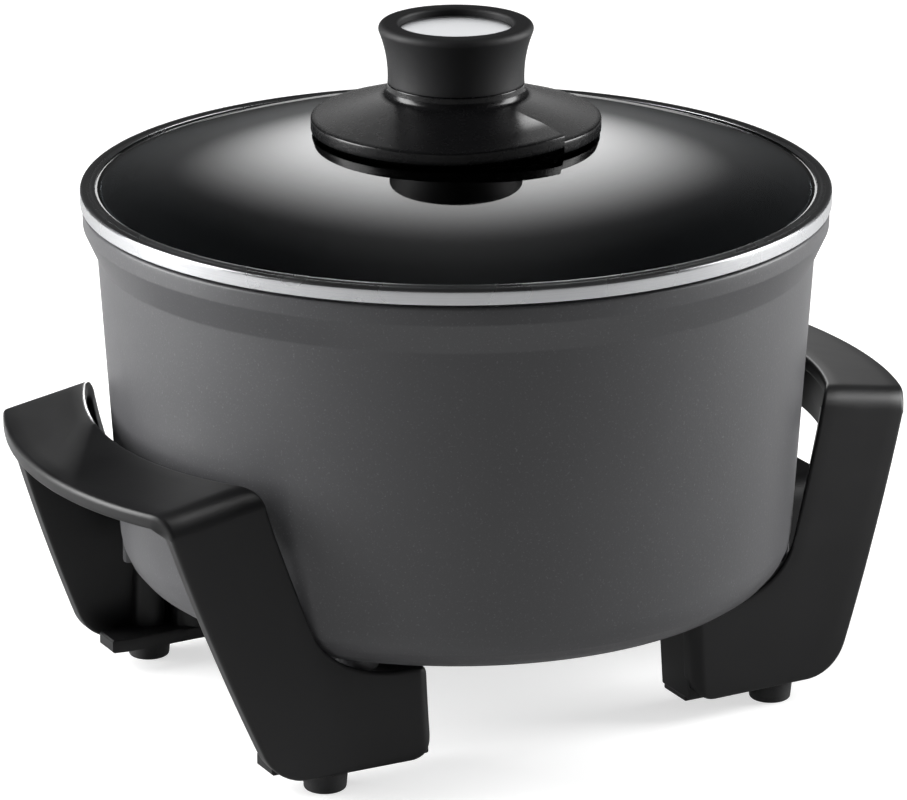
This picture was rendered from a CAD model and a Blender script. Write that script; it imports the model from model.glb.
"""Looks of the electric multicooker: a deep coated pot on arched handle legs under a domed glass lid."""
import math

import bmesh
import bpy
import numpy as np
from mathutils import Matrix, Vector


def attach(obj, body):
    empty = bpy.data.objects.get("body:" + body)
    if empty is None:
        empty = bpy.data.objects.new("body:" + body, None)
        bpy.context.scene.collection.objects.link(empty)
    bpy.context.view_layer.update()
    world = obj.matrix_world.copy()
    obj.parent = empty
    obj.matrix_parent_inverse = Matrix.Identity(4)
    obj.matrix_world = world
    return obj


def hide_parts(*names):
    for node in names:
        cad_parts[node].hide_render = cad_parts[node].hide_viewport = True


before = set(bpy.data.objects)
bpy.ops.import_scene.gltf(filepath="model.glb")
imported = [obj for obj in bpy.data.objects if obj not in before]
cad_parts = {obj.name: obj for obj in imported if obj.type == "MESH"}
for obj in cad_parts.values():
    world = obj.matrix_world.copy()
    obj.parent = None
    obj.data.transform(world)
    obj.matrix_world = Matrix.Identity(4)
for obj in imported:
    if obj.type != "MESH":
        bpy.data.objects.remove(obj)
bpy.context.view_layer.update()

# Studio: a pale floor under soft light, seen from the front left and a little above.
# A bright sweep stands behind the cooker; it is dark above and towards the camera.

scene = bpy.context.scene
scene.view_settings.view_transform = "Standard"

CAMERA_TURN = math.radians(28.1)
CAMERA_RISE = math.radians(18.27)
CAMERA_FAR = 1.821
AIM = Vector((-0.00079, 0.00042, 0.1072))
camera = bpy.data.objects.new("camera", bpy.data.cameras.new("camera"))
camera.data.lens = 198.46
camera.data.sensor_width = 36
camera.data.clip_end = 20
camera.location = AIM + CAMERA_FAR * Vector((-math.sin(CAMERA_TURN) * math.cos(CAMERA_RISE),
                                             -math.cos(CAMERA_TURN) * math.cos(CAMERA_RISE),
                                             math.sin(CAMERA_RISE)))
camera.rotation_euler = (AIM - camera.location).to_track_quat("-Z", "Y").to_euler()
scene.collection.objects.link(camera)
scene.camera = camera


def lin(code):
    """Linear RGBA of an sRGB hex colour: ((c + 0.055) / 1.055) ** 2.4 for each channel,
    or c / 12.92 near black."""
    c = np.array([int(code[i:i + 2], 16) for i in (1, 3, 5)]) / 255
    return (*np.where(c > 0.04045, ((c + 0.055) / 1.055) ** 2.4, c / 12.92), 1.0)


def add(tree, kind, inputs=(), **settings):
    """A node of one kind with its settings; inputs gives each socket a value, or the socket that feeds it."""
    new = tree.nodes.new("ShaderNode" + kind)
    for key, value in settings.items():
        setattr(new, key, value)
    for key, value in dict(inputs).items():
        if isinstance(value, bpy.types.NodeSocket):
            tree.links.new(value, new.inputs[key])
        else:
            new.inputs[key].default_value = value
    return new


# The world is white to the camera and through glass. Gloss sees a dim room that is a little lighter behind,
# and matt surfaces get a soft light from above.
world = bpy.data.worlds.new("studio")
scene.world = world
world.use_nodes = True
tree = world.node_tree
tree.nodes.clear()
ray = add(tree, "LightPath").outputs
look = add(tree, "TexCoord").outputs["Generated"]
forward = Vector((math.sin(CAMERA_TURN), math.cos(CAMERA_TURN), 0))
ahead = add(tree, "VectorMath", {0: look, 1: forward}, operation="DOT_PRODUCT").outputs["Value"]
height = add(tree, "SeparateXYZ", {0: look}).outputs["Z"]
behind = add(tree, "MapRange", {"Value": ahead, 1: -0.5, 2: 0.6, 3: 0.03, 4: 0.05},
             interpolation_type="SMOOTHSTEP").outputs[0]
ceiling = add(tree, "MapRange", {"Value": height, 1: 0.1, 2: 0.7, 3: 1.0, 4: 0.3},
              interpolation_type="SMOOTHSTEP").outputs[0]
room = add(tree, "Math", {0: behind, 1: ceiling}, operation="MULTIPLY").outputs[0]
above = add(tree, "MapRange", {"Value": height, 1: 0.0, 2: 1.0, 3: 0.06, 4: 0.32}).outputs[0]
soft = add(tree, "Mix", {0: ray["Is Glossy Ray"], 2: above, 3: room}).outputs[0]
seen = add(tree, "Math", {0: ray["Is Camera Ray"], 1: ray["Is Transmission Ray"]},
           operation="MAXIMUM").outputs[0]
level = add(tree, "Mix", {0: seen, 2: soft, 3: 1.0}).outputs[0]
light = add(tree, "Background", {"Color": lin("#ffffff"), "Strength": level})
add(tree, "OutputWorld", {"Surface": light.outputs[0]})

# Pale matt table top; it shows white to the camera apart from the cooker's own shadow.
FLOOR_HALF, FLOOR_GLOW = 1.4, 0.62
mesh = bpy.data.meshes.new("floor")
mesh.from_pydata([(-FLOOR_HALF, -FLOOR_HALF, 0), (FLOOR_HALF, -FLOOR_HALF, 0),
                  (FLOOR_HALF, FLOOR_HALF, 0), (-FLOOR_HALF, FLOOR_HALF, 0)], [], [(0, 1, 2, 3)])
floor = bpy.data.objects.new("floor", mesh)
scene.collection.objects.link(floor)
pale = bpy.data.materials.new("matt_pale_laminate")
pale.use_nodes = True
tree = pale.node_tree
tree.nodes.clear()
seen = add(tree, "LightPath").outputs["Is Camera Ray"]
level = add(tree, "Math", {0: seen, 1: FLOOR_GLOW}, operation="MULTIPLY").outputs[0]
matt = add(tree, "BsdfDiffuse", {"Color": lin("#cfcfcf")})
glow = add(tree, "Emission", {"Color": lin("#ffffff"), "Strength": level})
both = add(tree, "AddShader", {0: matt.outputs[0], 1: glow.outputs[0]})
add(tree, "OutputMaterial", {"Surface": both.outputs[0]})
mesh.materials.append(pale)

# Pieces that some of the lamps are kept for, or kept from.
unpolished, bright, near_grip, polished = (
    bpy.data.collections.new(n)
    for n in ("without_glass_and_ring", "bright_ring", "left_grip", "polished_pieces"))

# Softboxes: the way to each, turned from the camera's own way, its distance and height, its width and height,
# its watts, whether gloss mirrors it, and what it lights. The bright ring has weaker ones of its own, so that
# it keeps its steel grey. The last two graze the left grip: one from above for its front bend,
# and one low behind that the pot half hides.
LAMP_AIM = Vector((0, 0, 0.12))
for label, turned, far, up, across, tall, watts, mirrored, lit in (
        ("softbox_left", -92, 1.5, 0.6, 0.9, 1.2, 50, True, unpolished),
        ("softbox_right", 102, 1.5, 0.6, 0.8, 1.2, 36, True, unpolished),
        ("softbox_front", -25, 2.2, 1.5, 1.4, 1.2, 2.2, False, unpolished),
        ("ring_left", -92, 1.5, 0.6, 0.9, 1.2, 18, True, bright),
        ("ring_right", 102, 1.5, 0.6, 0.8, 1.2, 14, True, bright),
        ("softbox_over", 83, 0.82, 1.35, 0.8, 0.8, 32, True, near_grip),
        ("sweep_low", 177, 2.9, 0.8, 0.3, 1.2, 60, True, near_grip)):
    lamp = bpy.data.objects.new(label, bpy.data.lights.new(label, "AREA"))
    lamp.data.shape = "RECTANGLE"
    lamp.data.size = across
    lamp.data.size_y = tall
    lamp.data.energy = watts
    way = math.radians(turned) - CAMERA_TURN
    lamp.location = (far * math.sin(way), -far * math.cos(way), up)
    lamp.rotation_euler = (LAMP_AIM - lamp.location).to_track_quat("-Z", "Y").to_euler()
    lamp.visible_camera = False
    lamp.visible_glossy = mirrored
    lamp.light_linking.receiver_collection = lit
    scene.collection.objects.link(lamp)

# A tall pool of light on the sweep behind, that shines in the polished pieces: a bright core, and a faint tail
# that ends at the lamp's edge.
POOL_RISE, POOL_FAR, POOL_AIM = math.radians(26), 3.0, Vector((0, 0, 0.2))
pool = bpy.data.objects.new("sweep_pool", bpy.data.lights.new("sweep_pool", "AREA"))
pool.data.shape = "ELLIPSE"
pool.data.size = 1.95
pool.data.size_y = 4.3
pool.location = POOL_AIM + POOL_FAR * Vector((forward.x * math.cos(POOL_RISE), forward.y * math.cos(POOL_RISE),
                                              math.sin(POOL_RISE)))
pool.rotation_euler = (POOL_AIM - pool.location).to_track_quat("-Z", "Y").to_euler()
pool.visible_camera = False
pool.data.energy = 82
pool.data.use_nodes = True
tree = pool.data.node_tree
tree.nodes.clear()
spot = add(tree, "NewGeometry").outputs["Parametric"]
spot = add(tree, "VectorMath", {0: spot, 1: (0.5, 0.5, 0)}, operation="SUBTRACT").outputs[0]
away = add(tree, "VectorMath", {0: spot}, operation="LENGTH").outputs["Value"]
tail = add(tree, "MapRange", {"Value": away, 1: 0.15, 2: 0.5, 3: 0.1, 4: 0.0},
           interpolation_type="SMOOTHSTEP").outputs[0]
spot = add(tree, "VectorMath", {0: spot, 1: (0.82, 1.1, 0)}, operation="MULTIPLY").outputs[0]
away = add(tree, "VectorMath", {0: spot}, operation="LENGTH").outputs["Value"]
core = add(tree, "MapRange", {"Value": away, 1: 0.083, 2: 0.345, 3: 1.0, 4: 0.0},
           interpolation_type="SMOOTHSTEP").outputs[0]
fade = add(tree, "Math", {0: core, 1: tail}, operation="ADD").outputs[0]
glow = add(tree, "Emission", {"Color": lin("#ffffff"), "Strength": fade})
add(tree, "OutputLight", {"Surface": glow.outputs[0]})
pool.light_linking.receiver_collection = polished
scene.collection.objects.link(pool)

# Pot: a deep die casting in aluminium, sprayed with dark grey non-stick coating inside and out.
# The rim steps out to a lip with a seat for the lid. Lugs, ribs and the heater ridge are cast on under it.

LIP_R, RIM_Z, WALL_R, BASE_R, BASE_Z = 134.0, 183.7, 129.0, 121.9, 45.7
UNDER_Z, SLOPE_Z, SEAT_R, SEAT_Z, FLOOR_Z = 166.1, 177.3, 130.1, 176.2, 50.2
RIDGE_IN, RIDGE_OUT, RIDGE_Z, CAST_Z = 55.4, 70.6, 37.2, 47.9
LUG, LUG_R, LUG_TOP, TOE_Z = (76.0, 68.0), 8, 48, 41.0


def rounded(points, radii, steps=7):
    """A polyline with circular fillets: each corner becomes the rational quadratic curve between the two
    points where a circle of its radius touches the legs, weighted by the sine of half the corner's angle."""
    p = np.array(points, float)
    r = np.array(radii, float)[1:-1, None]
    a = p[:-2] - p[1:-1]
    b = p[2:] - p[1:-1]
    la = np.linalg.norm(a, axis=1, keepdims=True)
    lb = np.linalg.norm(b, axis=1, keepdims=True)
    a /= la
    b /= lb
    half = np.arccos(np.clip((a * b).sum(1, keepdims=True), -1, 1)) / 2
    reach = np.minimum(r / np.tan(half), 0.49 * np.minimum(la, lb))
    w = np.sin(half)[:, None]
    t = np.linspace(0, 1, steps)[None, :, None]
    start, corner, end = [(p[1:-1] + k * reach)[:, None] for k in (a, 0, b)]
    curve = ((1 - t) ** 2 * start + 2 * w * t * (1 - t) * corner + t ** 2 * end)
    curve /= (1 - t) ** 2 + 2 * w * t * (1 - t) + t ** 2
    return np.vstack([p[:1], curve.reshape(-1, p.shape[1]), p[-1:]])


def lathe(points, radii, at=(0, 0), step=3.0, around=192):
    """A surface of revolution: the filleted profile in radius and height, cut into lengths of at most step,
    turned round the upright axis through at: (x, y, z) = (r cos a, r sin a, z)."""
    line = rounded(points, radii)
    run = np.concatenate([[0], np.cumsum(np.linalg.norm(np.diff(line, axis=0), axis=1))])
    cuts = np.unique(np.concatenate([run, np.arange(0, run[-1], step)]))
    r, z = (np.interp(cuts, run, line[:, i])[:, None] for i in (0, 1))
    a = np.linspace(0, 2 * np.pi, around + 1)[None]
    return np.stack([at[0] + r * np.cos(a), at[1] + r * np.sin(a), z + 0 * a], -1)


def slab(corners, r=1.0, steps=5):
    """A block with rounded edges between eight corners, given as [x side][y side][z side]: unit-sphere
    directions over the eight octants give a box of its mean size with edges of radius r, which is mapped
    trilinearly to the corners."""
    c = np.array(corners, float)
    size = np.array([np.linalg.norm(np.diff(c, axis=i), axis=-1).mean() for i in range(3)]) / 2
    r = min(r, size.min())
    quarter = np.linspace(0, np.pi / 2, steps)
    lon = (np.arange(4)[:, None] * np.pi / 2 + quarter).ravel()
    sx, sy = (np.repeat(s, steps) for s in ((1, -1, -1, 1), (1, 1, -1, -1)))
    lon, sx, sy = (np.append(v, v[0]) for v in (lon, sx, sy))
    lat = np.concatenate([quarter - np.pi / 2, quarter])[:, None]
    sz = np.repeat((-1, 1), steps)[:, None]
    box = np.stack([sx * (size[0] - r) + r * np.cos(lat) * np.cos(lon),
                    sy * (size[1] - r) + r * np.cos(lat) * np.sin(lon),
                    sz * (size[2] - r) + r * np.sin(lat) + 0 * lon], -1)
    low, high = box[:1] * (0, 0, 1), box[-1:] * (0, 0, 1)
    u, v, w = np.moveaxis((np.concatenate([low, box, high]) / size + 1) / 2, -1, 0)[..., None]
    near = (c[0, 0, 0] * (1 - u) + c[1, 0, 0] * u) * (1 - v) + (c[0, 1, 0] * (1 - u) + c[1, 1, 0] * u) * v
    far = (c[0, 0, 1] * (1 - u) + c[1, 0, 1] * u) * (1 - v) + (c[0, 1, 1] * (1 - u) + c[1, 1, 1] * u) * v
    return near * (1 - w) + far * w


def brick(x, y, z, r=1.0):
    """A slab with square corners over three ranges."""
    return slab([[[(i, j, k) for k in z] for j in y] for i in x], r)


def pierced(x, y, z, hole, bore, r=0.8):
    """A block with one round hole along its third range: round the hole's axis, each direction joins the
    circle to the block's outline, and a closed section with its two outer corners cut runs between them."""
    around = np.linspace(-np.pi, np.pi, 97)
    d = np.stack([np.cos(around), np.sin(around)], -1)
    lo, hi = np.array([x[0], y[0]]) - hole, np.array([x[1], y[1]]) - hole
    with np.errstate(divide="ignore", invalid="ignore"):
        out = np.nanmin(np.where(d > 0, hi / d, np.where(d < 0, lo / d, np.inf)), axis=1)
    k = np.array([[0, 0], [1, 0], [1, 0], [1, 1], [1, 1], [0, 1], [0, 0]])
    inset = np.array([0, r, 0, 0, r, 0, 0])
    lift = np.array([0, 0, r, -r, 0, 0, 0])
    rad = bore + (out[:, None] - bore) * k[:, 0] - inset
    up = z[0] + (z[1] - z[0]) * k[:, 1] + lift
    return np.stack([hole[0] + rad * d[:, :1], hole[1] + rad * d[:, 1:], up + 0 * rad], -1)


def piece(name, surfaces, material):
    """An object from grids of points in millimetres: neighbouring rows and columns span quads, doubled points
    are merged so that seams and poles close, and faces turn outwards and shade smooth up to 38 degrees."""
    count = np.cumsum([0] + [s.shape[0] * s.shape[1] for s in surfaces])
    index = [np.arange(s.shape[0] * s.shape[1]).reshape(s.shape[:2]) + c for s, c in zip(surfaces, count)]
    quads = [np.stack([i[:-1, :-1], i[:-1, 1:], i[1:, 1:], i[1:, :-1]], -1).reshape(-1, 4) for i in index]
    mesh = bpy.data.meshes.new(name)
    mesh.from_pydata(np.concatenate([s.reshape(-1, 3) for s in surfaces]) / 1000, [], np.concatenate(quads))
    cage = bmesh.new()
    cage.from_mesh(mesh)
    bmesh.ops.remove_doubles(cage, verts=cage.verts, dist=2e-6)
    bmesh.ops.dissolve_degenerate(cage, edges=cage.edges, dist=1e-6)
    bmesh.ops.recalc_face_normals(cage, faces=cage.faces)
    cage.to_mesh(mesh)
    cage.free()
    mesh.shade_smooth()
    mesh.set_sharp_from_angle(angle=math.radians(38))
    mesh.materials.append(material)
    made = bpy.data.objects.new(name, mesh)
    scene.collection.objects.link(made)
    return made


def blank(name):
    """A new material: its node tree, its Object coordinates, and a function that fills its shader."""
    made = bpy.data.materials.new(name)
    made.use_nodes = True
    made.node_tree.nodes.clear()

    def surface(inputs):
        shader = add(made.node_tree, "BsdfPrincipled", inputs)
        add(made.node_tree, "OutputMaterial", {"Surface": shader.outputs[0]})
        return made
    return made.node_tree, add(made.node_tree, "TexCoord").outputs["Object"], surface


# Sprayed and baked non-stick coating: satin dark grey with a fine orange peel (about 1.2 mm) and
# pale specks of filler under half a millimetre; broad patches of slightly different sheen.
tree, at, surface = blank("nonstick_coating_on_cast_aluminium")
peel = add(tree, "TexNoise", {"Vector": at, "Scale": 1 / 0.0012, "Detail": 3.0, "Roughness": 0.55}).outputs[0]
speck = add(tree, "TexNoise", {"Vector": at, "Scale": 1 / 0.0007, "Detail": 1.0}).outputs[0]
speck = add(tree, "MapRange", {"Value": speck, 1: 0.62, 2: 0.78, 3: 0.0, 4: 0.35}).outputs[0]
patch = add(tree, "TexNoise", {"Vector": at, "Scale": 1 / 0.06, "Detail": 2.0}).outputs[0]
shade = add(tree, "Mix", {0: patch, 6: lin("#424244"), 7: lin("#4c4c4e")}, data_type="RGBA").outputs[2]
shade = add(tree, "Mix", {0: speck, 6: shade, 7: lin("#77777a")}, data_type="RGBA").outputs[2]
sheen = add(tree, "MapRange", {"Value": patch, 1: 0.3, 2: 0.7, 3: 0.4, 4: 0.47}).outputs[0]
bump = add(tree, "Bump", {"Height": peel, "Strength": 0.12, "Distance": 0.0003}).outputs[0]
coating = surface({"Base Color": shade, "Roughness": sheen, "Normal": bump, "IOR": 1.45})

INLET_X, INLET_W, RING_R, TUBE_Z, PROBE_R = 106.0, 30.0, 63.0, 41.9, 3.2
pot_skin = [lathe(
    [(0, BASE_Z), (BASE_R, BASE_Z), (WALL_R, UNDER_Z), (LIP_R, SLOPE_Z), (LIP_R, RIM_Z), (SEAT_R, RIM_Z),
     (SEAT_R, SEAT_Z), (126.5, SEAT_Z), (125.8, UNDER_Z), (119.0, FLOOR_Z), (0, FLOOR_Z)],
    (0, 16.7, 3, 2, 1.1, 0.9, 0.8, 1.2, 3, 13.5, 0), around=256)]
pot_skin += [lathe([(RIDGE_IN, CAST_Z), (RIDGE_IN, RIDGE_Z), (RIDGE_OUT, RIDGE_Z), (RIDGE_OUT, CAST_Z),
                    (RIDGE_IN, CAST_Z)], (0, 2, 2, 0, 0))]
pot_skin += [lathe([(0, TOE_Z), (LUG_R, TOE_Z), (LUG_R, LUG_TOP), (0, LUG_TOP)], (0, 0.8, 0, 0),
                   (sx * LUG[0], sy * LUG[1]), around=64) for sx in (1, -1) for sy in (1, -1)]
RIB_TURN = math.radians(28)
rib = brick((99.9, 122.4), (-2.5, 2.5), (44.6, 59.6), 1.6)
for sx, sy in ((1, 1), (1, -1), (-1, 1), (-1, -1)):
    x = rib[..., 0] * math.cos(RIB_TURN) - rib[..., 1] * math.sin(RIB_TURN)
    y = rib[..., 0] * math.sin(RIB_TURN) + rib[..., 1] * math.cos(RIB_TURN)
    pot_skin.append(np.stack([sx * x, sy * y, rib[..., 2]], -1))
inlet = pierced((-INLET_W, INLET_W), (RIDGE_Z, CAST_Z), (RING_R, INLET_X), (0, TUBE_Z), PROBE_R)
pot_skin.append(inlet[..., (2, 0, 1)])
pot = piece("pot_casting", pot_skin, coating)
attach(pot, "base")
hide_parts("pot")

# Heater: a sheathed tube bent to a ring and cast into the ridge, with its two ends led to the inlet.
# Brass contact pins stand out of it in ceramic bushes, pressed into the inlet lug.


def dress(name, material):
    """Gives a CAD node that stays as it is its finished material."""
    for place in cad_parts[name].material_slots:
        place.material = material


# Heat-tinted stainless sheath: dull grey with straw and blue clouds a centimetre across and fine draw lines.
tree, at, surface = blank("heat_tinted_stainless_sheath")
cloud = add(tree, "TexNoise", {"Vector": at, "Scale": 1 / 0.01, "Detail": 3.0}).outputs[0]
shade = add(tree, "Mix", {0: cloud, 6: lin("#8a8178"), 7: lin("#6f7278")}, data_type="RGBA").outputs[2]
grit = add(tree, "TexNoise", {"Vector": at, "Scale": 1 / 0.0006, "Detail": 2.0}).outputs[0]
rough = add(tree, "MapRange", {"Value": grit, 1: 0.3, 2: 0.7, 3: 0.34, 4: 0.5}).outputs[0]
bump = add(tree, "Bump", {"Height": grit, "Strength": 0.1, "Distance": 0.0002}).outputs[0]
dress("heating_element", surface({"Base Color": shade, "Metallic": 1.0, "Roughness": rough, "Normal": bump}))

# Turned brass: warm yellow with fine lathe marks and faint tarnish.
tree, at, surface = blank("turned_brass")
tarnish = add(tree, "TexNoise", {"Vector": at, "Scale": 1 / 0.004, "Detail": 3.0}).outputs[0]
shade = add(tree, "Mix", {0: tarnish, 6: lin("#d8c07c"), 7: lin("#b3975a")}, data_type="RGBA").outputs[2]
marks = add(tree, "TexWave", {"Vector": at, "Scale": 1 / 0.0012 / 6.28, "Distortion": 0.4},
            bands_direction="X").outputs[1]
bump = add(tree, "Bump", {"Height": marks, "Strength": 0.08, "Distance": 0.0001}).outputs[0]
rough = add(tree, "MapRange", {"Value": tarnish, 1: 0.3, 2: 0.7, 3: 0.22, 4: 0.36}).outputs[0]
brass = surface({"Base Color": shade, "Metallic": 1.0, "Roughness": rough, "Normal": bump})
dress("terminal_pins", brass)

# Unglazed steatite: off-white, chalky, with a grain of half a millimetre.
tree, at, surface = blank("unglazed_steatite")
grain = add(tree, "TexNoise", {"Vector": at, "Scale": 1 / 0.0005, "Detail": 3.0}).outputs[0]
shade = add(tree, "Mix", {0: grain, 6: lin("#e9e3d6"), 7: lin("#d5cdbc")}, data_type="RGBA").outputs[2]
bump = add(tree, "Bump", {"Height": grain, "Strength": 0.2, "Distance": 0.0002}).outputs[0]
dress("terminal_insulators", surface({"Base Color": shade, "Roughness": 0.7, "Normal": bump}))

# Inlet guard: a moulded tunnel round the contact pins, open to the right, for the plug of the heat control.
# It is phenolic moulding like the handles, held to the inlet lug by two small screws.

# Moulded phenolic: near-black with a fine spark texture of 0.6 mm, satin, with slightly greyer flow patches.
tree, at, surface = blank("moulded_black_phenolic")
grain = add(tree, "TexNoise", {"Vector": at, "Scale": 1 / 0.0006, "Detail": 2.0, "Roughness": 0.6}).outputs[0]
flow = add(tree, "TexNoise", {"Vector": at, "Scale": 1 / 0.035, "Detail": 3.0, "Distortion": 0.6}).outputs[0]
shade = add(tree, "Mix", {0: flow, 6: lin("#101011"), 7: lin("#171718")}, data_type="RGBA").outputs[2]
rough = add(tree, "MapRange", {"Value": flow, 1: 0.3, 2: 0.7, 3: 0.36, 4: 0.44}).outputs[0]
bump = add(tree, "Bump", {"Height": grain, "Strength": 0.1, "Distance": 0.0002}).outputs[0]
phenolic = surface({"Base Color": shade, "Roughness": rough, "Normal": bump, "IOR": 1.38})
dress("inlet_guard", phenolic)

# Zinc-plated steel: bright blue-grey with a faint crystalline mottle of 2 mm.
tree, at, surface = blank("zinc_plated_steel")
mottle = add(tree, "TexVoronoi", {"Vector": at, "Scale": 1 / 0.002}).outputs[0]
shade = add(tree, "Mix", {0: mottle, 6: lin("#c9ccd1"), 7: lin("#aeb2b8")}, data_type="RGBA").outputs[2]
rough = add(tree, "MapRange", {"Value": mottle, 1: 0.0, 2: 1.0, 3: 0.24, 4: 0.36}).outputs[0]
bump = add(tree, "Bump", {"Height": mottle, "Strength": 0.06, "Distance": 0.0001}).outputs[0]
zinc = surface({"Base Color": shade, "Metallic": 1.0, "Roughness": rough, "Normal": bump})
for name in ("guard_screws", "handle_screws", "foot_screws", "vent_eyelet", "knob_washer", "knob_screw"):
    dress(name, zinc)

# Handles: one moulding each side. A strap curved like the pot is the grip; at its corners it bends down into
# two splayed leg plates, whose toes turn in under the pot as boxes that carry the pot lugs and the feet.

GRIP_R, GRIP_IN_R, GRIP_MID, GRIP_Z = 164.4, 134.2, 149.3, 109.5
GRIP_T, LEG_T, CORNER_R, CROWN_R = 5.4, 7.2, 9.2, 1800.0
TILT, SPLAY = math.radians(9.9), math.radians(6.5)
FACE_Y, FACE_Z = 72.3, 97.7
FOOT_Z, TOE_X, TOE_ROUND, TOE_END_R, TOE_TOP_R = 7.7, 53.0, 9.0, 5.0, 4.0
EDGE_HI, EDGE_LO, EDGE_BOW, HEEL_R = np.array([148.2, 102.43]), np.array([118.0, 18.14]), 1.1, 18.0
BAY = np.array([(132.6, 106.5), (131.3, 97.7), (128.2, 81.5), (124.29, 60.54)])
BAY_O, BAY_R, BAY_LEAN = (100.46, 65.3), 24.3, -11.3
OUTER_EDGE, INNER_EDGE = 1.8, 1.2


def face_y(x, z):
    """Half distance of the splayed leg faces: it grows by tan(splay) for each millimetre down the tilted
    grip's own upright axis."""
    own = GRIP_Z + (x - GRIP_MID) * math.sin(TILT) + (z - GRIP_Z) * math.cos(TILT)
    return FACE_Y + (FACE_Z - own) * math.tan(SPLAY)


def on_cylinder(y, own, radius, side):
    """Points at half distance y and own height in the tilted grip's axes, as far out as the upright cylinder
    is at half distance side."""
    x = np.sqrt(radius ** 2 - side ** 2)
    z = GRIP_Z + (own - GRIP_Z - (x - GRIP_MID) * math.sin(TILT)) / math.cos(TILT)
    return np.stack([x, y, z], -1)


def spread(line, count):
    """Points at even lengths along a polyline."""
    run = np.concatenate([[0], np.cumsum(np.linalg.norm(np.diff(line, axis=0), axis=1))])
    cuts = np.linspace(0, run[-1], count)
    return np.stack([np.interp(cuts, run, line[:, i]) for i in range(line.shape[1])], -1)


def arc(centre, radius, start, end, count=25):
    """Points on a circle between two angles in degrees."""
    a = np.radians(np.linspace(start, end, count))
    return np.array(centre) + radius * np.stack([np.cos(a), np.sin(a)], -1)


# grip and corner: the crown circle, then the corner circle that touches it and the leg face; its centre lies on
# the line of the face moved in by its radius, as far from the crown's centre as the two radii differ
CROWN_CUTS, CORNER_CUTS, LEAN = 22, 14, math.degrees(SPLAY)
face_n = np.array([math.cos(SPLAY), math.sin(SPLAY)])
face_d = FACE_Y * face_n[0] + FACE_Z * face_n[1]
crown_o = np.array([0, GRIP_Z - CROWN_R])
start = (face_d - CORNER_R) * face_n - crown_o
upward = np.array([-face_n[1], face_n[0]])
along = math.sqrt((start @ upward) ** 2 - start @ start + (CROWN_R - CORNER_R) ** 2) - start @ upward
corner_o = crown_o + start + along * upward
meet = math.degrees(math.atan2(*(corner_o - crown_o)[::-1]))
bend = np.concatenate([arc(crown_o, CROWN_R, 90, meet, CROWN_CUTS),
                       arc(corner_o, CORNER_R, meet, LEAN, CORNER_CUTS)[1:]])
turn = np.radians(np.concatenate([np.linspace(90, meet, CROWN_CUTS),
                                  np.linspace(meet, LEAN, CORNER_CUTS)[1:]]))
thick = np.concatenate([np.full(CROWN_CUTS, GRIP_T), np.linspace(GRIP_T, LEG_T, CORNER_CUTS)[1:]])[:, None]
under = bend - thick * np.stack([np.cos(turn), np.sin(turn)], -1)
ease = np.append(np.zeros(CROWN_CUTS - 1), np.linspace(0, 1, CORNER_CUTS))
side = under[:, 0] + ease * (bend - under)[:, 0]
inner = np.append(np.full(CROWN_CUTS - 1, GRIP_IN_R), np.linspace(GRIP_IN_R, BAY[0, 0], CORNER_CUTS))
grip = np.stack([on_cylinder(*bend.T, GRIP_R, bend[:, 0]), on_cylinder(*bend.T, inner, bend[:, 0]),
                 on_cylinder(*under.T, inner, under[:, 0]), on_cylinder(*under.T, GRIP_R, side)], 1)

# leg: outer outline (edge, heel, sole, toe) and the bay round the pot, matched in stretches; it starts a little
# under the corner, and edge and bay are split once each so that the stretches lie across from each other
DROP, EDGE_SPLIT, BAY_SPLIT = 0.6, 62.0, -62
rise = EDGE_HI - EDGE_LO
length = np.linalg.norm(rise)
edge_r = (length ** 2 / 4 + EDGE_BOW ** 2) / (2 * EDGE_BOW)
edge_o = (EDGE_HI + EDGE_LO) / 2 - (edge_r - EDGE_BOW) * np.array([rise[1], -rise[0]]) / length
heel_z = FOOT_Z + HEEL_R
heel_x = edge_o[0] + math.sqrt((edge_r - HEEL_R) ** 2 - (heel_z - edge_o[1]) ** 2)
heel_a = math.degrees(math.atan2(heel_z - edge_o[1], heel_x - edge_o[0]))
edge_a = [math.degrees(math.asin((z - edge_o[1]) / edge_r)) for z in (grip[-1, 0, 2] - DROP, EDGE_SPLIT)]
outer = [arc(edge_o, edge_r, edge_a[0], edge_a[1]), arc(edge_o, edge_r, edge_a[1], heel_a),
         arc((heel_x, heel_z), HEEL_R, heel_a, -90),
         np.array([(heel_x, FOOT_Z), (TOE_X + TOE_ROUND, FOOT_Z)]),
         arc((TOE_X + TOE_ROUND, FOOT_Z + TOE_ROUND), TOE_ROUND, -90, -180)]
hollow = [np.concatenate([[(BAY[0, 0], grip[-1, 1, 2] - DROP)], BAY[1:3]]), BAY[2:],
          arc(BAY_O, BAY_R, BAY_LEAN, BAY_SPLIT), arc(BAY_O, BAY_R, BAY_SPLIT, -90)]
counts = (16, 14, 20, 18, 16)


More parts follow.
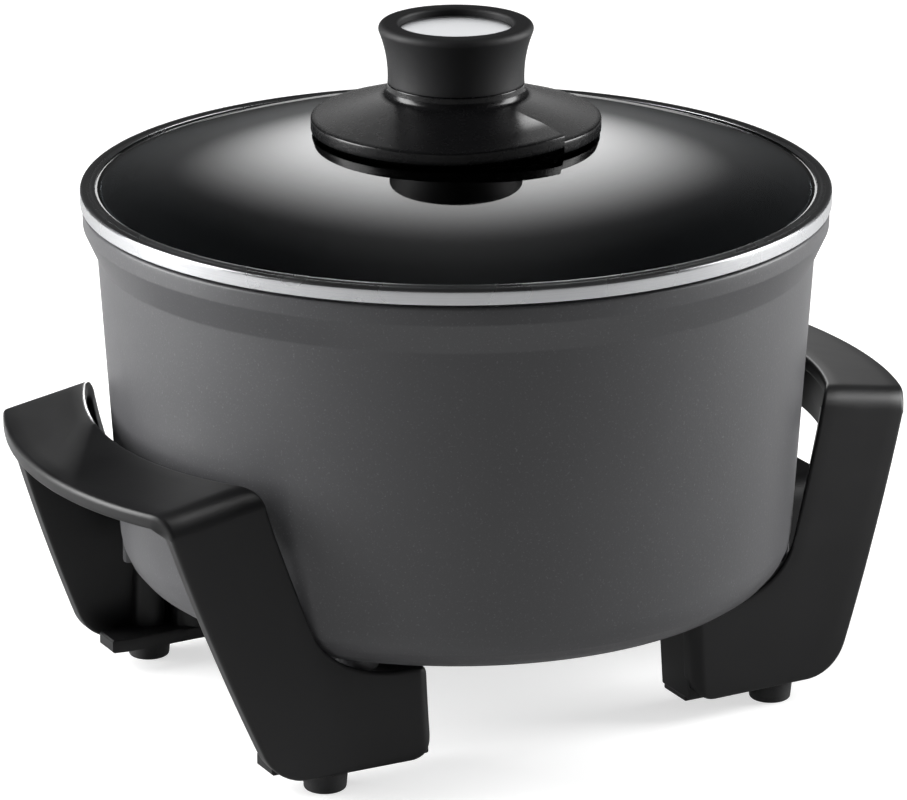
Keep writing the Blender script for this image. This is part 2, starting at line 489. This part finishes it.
def leg(inward):
    """Leg stations on the face that lies inward by that much: outer points on the outline, inner points on
    the bay, where x = sqrt(R^2 - y^2) is found by repeated steps, then along the top of the toe to its
    round end."""
    wide = np.concatenate([spread(o, c)[:-1] for o, c in zip(outer, counts)] + [outer[-1][-1:]])
    ring = np.concatenate([spread(h, c)[:-1] for h, c in zip(hollow, counts)] + [hollow[-1][-1:]])
    x = ring[:, 0] * 0.8
    for _ in range(12):
        x = np.sqrt(ring[:, 0] ** 2 - (face_y(x, ring[:, 1]) - inward) ** 2)
    last = np.linspace(x[-1], TOE_X, counts[4])[1:]
    fall = TOE_TOP_R - np.sqrt(TOE_TOP_R ** 2 - np.clip(TOE_X + TOE_TOP_R - last, 0, TOE_TOP_R) ** 2)
    tight = np.stack([np.append(x, last), np.append(ring[:, 1], TOE_Z - fall)], -1)
    both = np.stack([wide, tight], 1)
    bulge = np.clip((TOE_X + TOE_END_R - both[..., 0]) / TOE_END_R, 0, 1)
    inset = TOE_END_R * (1 - np.sqrt(1 - bulge ** 2)) if inward == 0 else inward
    return np.stack([both[..., 0], face_y(both[..., 0], both[..., 1]) - inset, both[..., 1]], -1)


face, back = leg(0), leg(LEG_T / math.cos(SPLAY))
half = np.concatenate([grip, np.stack([face[:, 0], face[:, 1], back[:, 1], back[:, 0]], 1)])
section = np.concatenate([half[:0:-1], half * (1, -1, 1)])


def rolled(section, radii, steps=5, sides=5):
    """A bar from its four-cornered sections: each corner is a quadratic curve that leaves its two sides at
    its radius, the sides are cut evenly, and both ends close in a flat cap."""
    toward = [np.roll(section, k, 1) - section for k in (1, -1)]
    far = [np.linalg.norm(v, axis=-1, keepdims=True) for v in toward]
    cut = np.minimum(np.array(radii)[None, :, None], 0.42 * np.minimum(*far))
    a, b = (section + v / f * cut for v, f in zip(toward, far))
    t = np.linspace(0, 1, steps)[:, None]
    bends = (1 - t) ** 2 * a[:, :, None] + 2 * t * (1 - t) * section[:, :, None] + t ** 2 * b[:, :, None]
    s = np.linspace(0, 1, sides + 2)[1:-1, None]
    flats = (1 - s) * b[:, :, None] + s * np.roll(a, -1, 1)[:, :, None]
    ring = np.concatenate([bends, flats], 2).reshape(len(section), -1, 3)
    ring = np.concatenate([ring, ring[:, :1]], 1)
    caps = [np.broadcast_to(ring[i].mean(0), ring[:1].shape) for i in (0, -1)]
    return np.concatenate([caps[0], ring, caps[1]])


# toe box: its sole in two pieces, end wall, short top, heel pad, the screw's tube and the foot's post
FOOT, SOLE_Z, SOLE_IN, TUBE_R, TUBE_OUT = (91.2, 73.4), 12.7, 60.05, 5.35, 7.75
toe = [pierced((53.4, 111.5), (SOLE_IN, 73.0), (FOOT_Z, SOLE_Z), LUG, TUBE_R, 0.6),
       brick((53.4, 104.0), (72.0, 79.5), (FOOT_Z, SOLE_Z), 0.6),
       slab([[[(53.1, SOLE_IN, FOOT_Z), (53.1, 56.4, 36.8)], [(53.1, 79.5, FOOT_Z), (53.1, 76.0, 36.8)]],
             [[(56.7, SOLE_IN, FOOT_Z), (56.7, 56.4, 40.7)], [(56.7, 79.5, FOOT_Z), (56.7, 76.0, 40.7)]]], 0.8),
       slab([[[(55.0, 57.0, 37.4), (56.5, 56.5, TOE_Z)], [(55.0, 76.0, 37.4), (56.5, 76.0, TOE_Z)]],
             [[(92.0, 57.0, 37.4), (92.0, 56.5, TOE_Z)], [(92.0, 76.0, 37.4), (92.0, 76.0, TOE_Z)]]], 0.8),
       brick((53.6, 64.5), (60.55, 76.0), (5.7, 8.2), 0.8),
       lathe([(TUBE_R, 12.0), (TUBE_OUT, 12.0), (TUBE_OUT, 40.8), (0, 40.8), (0, 31.0), (TUBE_R, 31.0),
              (TUBE_R, 12.0)], (0, 0, 0, 0, 0, 0, 0), LUG, around=64),
       lathe([(0, 10), (6, 10), (6, 40.3), (0, 40.3)], (0, 0, 0, 0), FOOT, around=64)]

# finger shield: a thin curved wall that hangs under the inner edge of the grip, between the legs
SHIELD_R, SHIELD_T, SHIELD_Z, SHIELD_TOP, SHIELD_HALF = 135.0, 2.6, 91.0, 109.6, 29.6
a = np.radians(np.linspace(-SHIELD_HALF, SHIELD_HALF, 41))[:, None]
r = SHIELD_R + SHIELD_T * np.array([1, 0, 0, 1])
z = np.array([SHIELD_TOP, SHIELD_TOP, SHIELD_Z, SHIELD_Z])
shield = np.stack([r * np.cos(a), r * np.sin(a), z + 0 * a], -1)
moulding = [rolled(section, (OUTER_EDGE, OUTER_EDGE, INNER_EDGE, INNER_EDGE)),
            rolled(shield, (0.2, 0.2, 0.8, 0.8))]
moulding += [t * (1, s, 1) for t in toe for s in (1, -1)]
right_handle = piece("right_handle_moulding", moulding, phenolic)
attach(right_handle, "base")
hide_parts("right_handle")
polished.objects.link(right_handle)
left_handle = piece("left_handle_moulding", [t * (-1, -1, 1) for t in moulding], phenolic)
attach(left_handle, "base")
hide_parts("left_handle")
near_grip.objects.link(left_handle)

# Feet: four moulded rubber buttons, slightly tapered, under the toes of the legs.
# Each is held by a screw whose head is sunk in its sole.

# Nitrile rubber: dead black, chalky, with a dusting of 1 mm patches and a soft pebble.
tree, at, surface = blank("moulded_nitrile_rubber")
dust = add(tree, "TexNoise", {"Vector": at, "Scale": 1 / 0.001, "Detail": 3.0}).outputs[0]
shade = add(tree, "Mix", {0: dust, 6: lin("#1a1a1b"), 7: lin("#262627")}, data_type="RGBA").outputs[2]
bump = add(tree, "Bump", {"Height": dust, "Strength": 0.15, "Distance": 0.0002}).outputs[0]
rough = add(tree, "MapRange", {"Value": dust, 1: 0.3, 2: 0.7, 3: 0.6, 4: 0.8}).outputs[0]
rubber = surface({"Base Color": shade, "Roughness": rough, "Normal": bump, "IOR": 1.52})
SHANK_R, HEAD_R, HEAD_Z, TREAD_R, SHOULDER_R = 2.3, 4.4, 3.5, 7.5, 8.2
for name, sx, sy in (("front_left_foot", -1, -1), ("front_right_foot", 1, -1),
                     ("back_left_foot", -1, 1), ("back_right_foot", 1, 1)):
    foot = piece(name + "_button", [lathe(
        [(SHANK_R, HEAD_Z), (HEAD_R, HEAD_Z), (HEAD_R, 0), (TREAD_R, 0), (SHOULDER_R, FOOT_Z),
         (SHANK_R, FOOT_Z), (SHANK_R, HEAD_Z)],
        (0, 0.2, 0.5, 1.1, 0.5, 0.2, 0), (sx * FOOT[0], sy * FOOT[1]), step=1.5, around=72)], rubber)
    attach(foot, "base")
    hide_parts(name)

# Lid glass: a tempered dome, 4 mm thick, tinted nearly black, with a hole for the knob and one for the steam
# eyelet. It keeps the solid's exact surface, so the studio mirrors in it without a ripple.

# Tinted soda-lime glass: polished, dark grey all through, with faint waviness over several centimetres.
tree, at, surface = blank("tinted_tempered_glass")
wave = add(tree, "TexNoise", {"Vector": at, "Scale": 1 / 0.05, "Detail": 1.0}).outputs[0]
smear = add(tree, "TexNoise", {"Vector": at, "Scale": 1 / 0.02, "Detail": 3.0}).outputs[0]
shade = add(tree, "Mix", {0: smear, 6: lin("#33373a"), 7: lin("#3a3e41")}, data_type="RGBA").outputs[2]
rough = add(tree, "MapRange", {"Value": smear, 1: 0.3, 2: 0.7, 3: 0.015, 4: 0.05}).outputs[0]
bump = add(tree, "Bump", {"Height": wave, "Strength": 0.03, "Distance": 0.001}).outputs[0]
dress("lid_glass", surface({"Base Color": shade, "Roughness": rough, "Normal": bump, "IOR": 1.52,
                            "Transmission Weight": 1.0}))
polished.objects.link(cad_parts["lid_glass"])
unpolished.objects.link(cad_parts["lid_glass"])

# Lid ring: stainless strip rolled round the glass edge, with a bead and a groove on top,
# a plain outer band, and a skirt that drops into the pot's seat.

# Satin stainless: pale neutral steel with fine brush lines that run round the ring, 0.4 mm apart in height.
tree, at, surface = blank("satin_stainless_steel")
part = add(tree, "SeparateXYZ", {0: at}).outputs
reach = add(tree, "VectorMath", {0: add(tree, "CombineXYZ", {0: part[0], 1: part[1]}).outputs[0]},
            operation="LENGTH").outputs["Value"]
across = add(tree, "Math", {0: part[2], 1: reach}, operation="ADD").outputs[0]
lines = add(tree, "TexNoise", {"W": across, "Scale": 1 / 0.0004, "Detail": 2.0},
            noise_dimensions="1D").outputs[0]
haze = add(tree, "TexNoise", {"Vector": at, "Scale": 1 / 0.03, "Detail": 2.0}).outputs[0]
shade = add(tree, "Mix", {0: lines, 6: lin("#c3c4c6"), 7: lin("#dadbdd")}, data_type="RGBA").outputs[2]
rough = add(tree, "MapRange", {"Value": haze, 1: 0.3, 2: 0.7, 3: 0.24, 4: 0.32}).outputs[0]
bump = add(tree, "Bump", {"Height": lines, "Strength": 0.08, "Distance": 0.0001}).outputs[0]
steel = surface({"Base Color": shade, "Metallic": 1.0, "Roughness": rough, "Normal": bump})
STRIP_IN, STRIP_OUT, BAND_R, BEAD_Z, LIP_IN_R = 128.0, 128.8, 134.8, 190.5, 129.3
GLASS_R, GLASS_LOW, GLASS_TOP = 133.05, 185.8, 189.8
ring = piece("lid_ring_strip", [lathe(
    [(STRIP_IN, SEAT_Z), (STRIP_OUT, SEAT_Z), (STRIP_OUT, 185.1), (133.5, 185.1), (134.0, 184.6),
     (BAND_R, 184.9), (BAND_R, 190.3), (132.6, BEAD_Z), (131.6, 189.9), (130.6, BEAD_Z), (LIP_IN_R, BEAD_Z),
     (LIP_IN_R, GLASS_TOP), (GLASS_R, GLASS_TOP), (GLASS_R, GLASS_LOW), (STRIP_IN, GLASS_LOW),
     (STRIP_IN, SEAT_Z)],
    (0, 0.2, 0.3, 0.1, 0.2, 0.3, 1.7, 0.5, 0.4, 0.4, 0.34, 0.3, 0.1, 0.1, 0.2, 0),
    step=1.0, around=256)], steel)
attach(ring, "lid")
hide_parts("lid_ring")
bright.objects.link(ring)
unpolished.objects.link(ring)

# the main softboxes leave out the glass and this ring
for held in unpolished.collection_objects:
    held.light_linking.link_state = "EXCLUDE"

# Knob fixing: a silicone gasket with a sleeve keeps the screw off the glass, and a washer spreads it below.
# A brass insert is moulded into the grip for the screw.

# Moulded silicone: dark grey, matte, slightly waxy, with soft 2 mm mottling.
tree, at, surface = blank("moulded_silicone")
mottle = add(tree, "TexNoise", {"Vector": at, "Scale": 1 / 0.002, "Detail": 2.0}).outputs[0]
shade = add(tree, "Mix", {0: mottle, 6: lin("#57585a"), 7: lin("#636466")}, data_type="RGBA").outputs[2]
rough = add(tree, "MapRange", {"Value": mottle, 1: 0.3, 2: 0.7, 3: 0.5, 4: 0.62}).outputs[0]
bump = add(tree, "Bump", {"Height": mottle, "Strength": 0.08, "Distance": 0.0002}).outputs[0]
dress("knob_gasket", surface({"Base Color": shade, "Roughness": rough, "Normal": bump, "IOR": 1.41}))
dress("knob_insert", brass)

# Knob skirt: a round moulded cap that turns with the grip. One sector of its rim climbs as a ramp,
# and the step at the ramp's end is the mouth that lets the steam out.

SKIRT_R, SKIRT_LOW, SKIRT_IN, BORE_R = 52.0, 209.9, 49.6, 2.8
BOSS_R, BOSS_Z, ROOF_Z, NECK_R, SEAM_Z = 11, 213.0, 220.8, 24.5, 227.05
RAMP_START, RAMP_SWEEP, RAMP_CLIMB = math.radians(-118), math.radians(47), 0.0555
FADE_FROM, FADE_OVER, RAMP_CUTS, ROUND_CUTS = 29.0, 15.0, 48, 160
outline = lathe([(BORE_R, BOSS_Z), (BOSS_R, BOSS_Z), (BOSS_R, ROOF_Z), (23.5, ROOF_Z), (SKIRT_IN, 212.54),
                 (SKIRT_IN, SKIRT_LOW), (SKIRT_R, SKIRT_LOW), (SKIRT_R, 214.3), (NECK_R, 223.02),
                 (NECK_R, SEAM_Z), (BORE_R, SEAM_Z), (BORE_R, BOSS_Z)],
                (0, 0.3, 1, 1, 0.5, 0.3, 0.4, 0.7, 6.5, 0.4, 0.3, 0), step=1.5, around=8)
r, z = outline[:, 0, 0], outline[:, 0, 2]

# each point climbs with the sine of the way up the ramp times its radius, and the climb fades in from the neck
sweep = RAMP_START + np.concatenate([np.linspace(0, RAMP_SWEEP, RAMP_CUTS),
                                     np.linspace(RAMP_SWEEP, 2 * np.pi, ROUND_CUTS)])
climb = np.concatenate([np.sin(np.linspace(0, RAMP_SWEEP, RAMP_CUTS)) * RAMP_CLIMB, np.zeros(ROUND_CUTS)])
fade = np.clip((r - FADE_FROM) / FADE_OVER, 0, 1)
fade = fade * fade * (3 - 2 * fade)
flange_skin = np.stack([r[:, None] * np.cos(sweep), r[:, None] * np.sin(sweep),
                        z[:, None] + (r * fade)[:, None] * climb], -1)

# Polished ABS: deep black with a soft gloss, and faint hairlines from wiping.
tree, at, surface = blank("polished_black_abs")
hair = add(tree, "TexNoise", {"Vector": at, "Scale": 1 / 0.003, "Detail": 4.0, "Distortion": 2.0}).outputs[0]
shade = add(tree, "Mix", {0: hair, 6: lin("#0c0c0d"), 7: lin("#121213")}, data_type="RGBA").outputs[2]
rough = add(tree, "MapRange", {"Value": hair, 1: 0.3, 2: 0.7, 3: 0.22, 4: 0.29}).outputs[0]
bump = add(tree, "Bump", {"Height": hair, "Strength": 0.02, "Distance": 0.0001}).outputs[0]
gloss = surface({"Base Color": shade, "Roughness": rough, "Normal": bump, "IOR": 1.37})
skirt = piece("knob_skirt", [flange_skin], gloss)
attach(skirt, "knob")
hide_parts("knob_flange")
polished.objects.link(skirt)

# Knob grip: a flared moulding with hollow sides, a soft rounded lip and a shallow recess in its top.
# It stands on the skirt with a fine seam and holds the brass insert.

KNOB_TOP, DISC_R, DISC_TOP, DISC_T, RECESS_GAP = 248.75, 20.3, 245.95, 1.2, 0.2
FLARE_O, FLARE_R, LIP_ROUND = (69.4, 229.25), 45.0, 2.2
LIP_LEAN = math.degrees(math.asin((KNOB_TOP - LIP_ROUND - FLARE_O[1]) / (FLARE_R + LIP_ROUND)))
LIP_IN = FLARE_O[0] - (FLARE_R + LIP_ROUND) * math.cos(math.radians(LIP_LEAN))
flare = np.concatenate([arc(FLARE_O, FLARE_R, 182.5, 180 - LIP_LEAN, 24),
                        arc((LIP_IN, KNOB_TOP - LIP_ROUND), LIP_ROUND, -LIP_LEAN, 90, 12)[1:]])
grip_line = [(0, SEAM_Z + 0.15), (NECK_R - 0.1, SEAM_Z + 0.15), *map(tuple, flare),
             (DISC_R + RECESS_GAP, KNOB_TOP), (DISC_R + RECESS_GAP, DISC_TOP - DISC_T), (0, DISC_TOP - DISC_T)]
grip_round = [0, 0.35] + [0.0] * len(flare) + [1.2, 0.1, 0]

# Fine-textured ABS: black with a spark-eroded grain of 0.5 mm that takes the shine off.
tree, at, surface = blank("fine_textured_black_abs")
grain = add(tree, "TexNoise", {"Vector": at, "Scale": 1 / 0.0005, "Detail": 2.0}).outputs[0]
shade = add(tree, "Mix", {0: grain, 6: lin("#1b1b1c"), 7: lin("#262627")}, data_type="RGBA").outputs[2]
rough = add(tree, "MapRange", {"Value": grain, 1: 0.3, 2: 0.7, 3: 0.52, 4: 0.62}).outputs[0]
bump = add(tree, "Bump", {"Height": grain, "Strength": 0.15, "Distance": 0.0002}).outputs[0]
matte = surface({"Base Color": shade, "Roughness": rough, "Normal": bump, "IOR": 1.35})
knob = piece("knob_grip_moulding", [lathe(grip_line, grip_round, step=1.5)], matte)
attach(knob, "knob")
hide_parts("knob_grip")

# Knob disc: a thin aluminium disc with a plain spun-brushed face.
# It is bonded into the recess in the top of the grip.

# Spun-brushed aluminium: pale, with concentric lines 0.3 mm apart round the axis that fan the light.
tree, at, surface = blank("spun_brushed_aluminium")
part = add(tree, "SeparateXYZ", {0: at}).outputs
reach = add(tree, "VectorMath", {0: add(tree, "CombineXYZ", {0: part[0], 1: part[1]}).outputs[0]},
            operation="LENGTH").outputs["Value"]
lines = add(tree, "TexNoise", {"W": reach, "Scale": 1 / 0.0003, "Detail": 3.0},
            noise_dimensions="1D").outputs[0]
shade = add(tree, "Mix", {0: lines, 6: lin("#8b8c8e"), 7: lin("#a3a4a6")}, data_type="RGBA").outputs[2]
rough = add(tree, "MapRange", {"Value": lines, 1: 0.3, 2: 0.7, 3: 0.42, 4: 0.5}).outputs[0]
bump = add(tree, "Bump", {"Height": lines, "Strength": 0.12, "Distance": 0.0001}).outputs[0]
spun = surface({"Base Color": shade, "Metallic": 1.0, "Roughness": rough, "Normal": bump})
disc = piece("knob_disc_plate", [lathe(
    [(0, DISC_TOP - DISC_T), (DISC_R, DISC_TOP - DISC_T), (DISC_R, DISC_TOP), (0, DISC_TOP)],
    (0, 0.1, 0.35, 0), step=1.5)], spun)
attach(disc, "knob")
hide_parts("knob_disc")
polished.objects.link(disc)
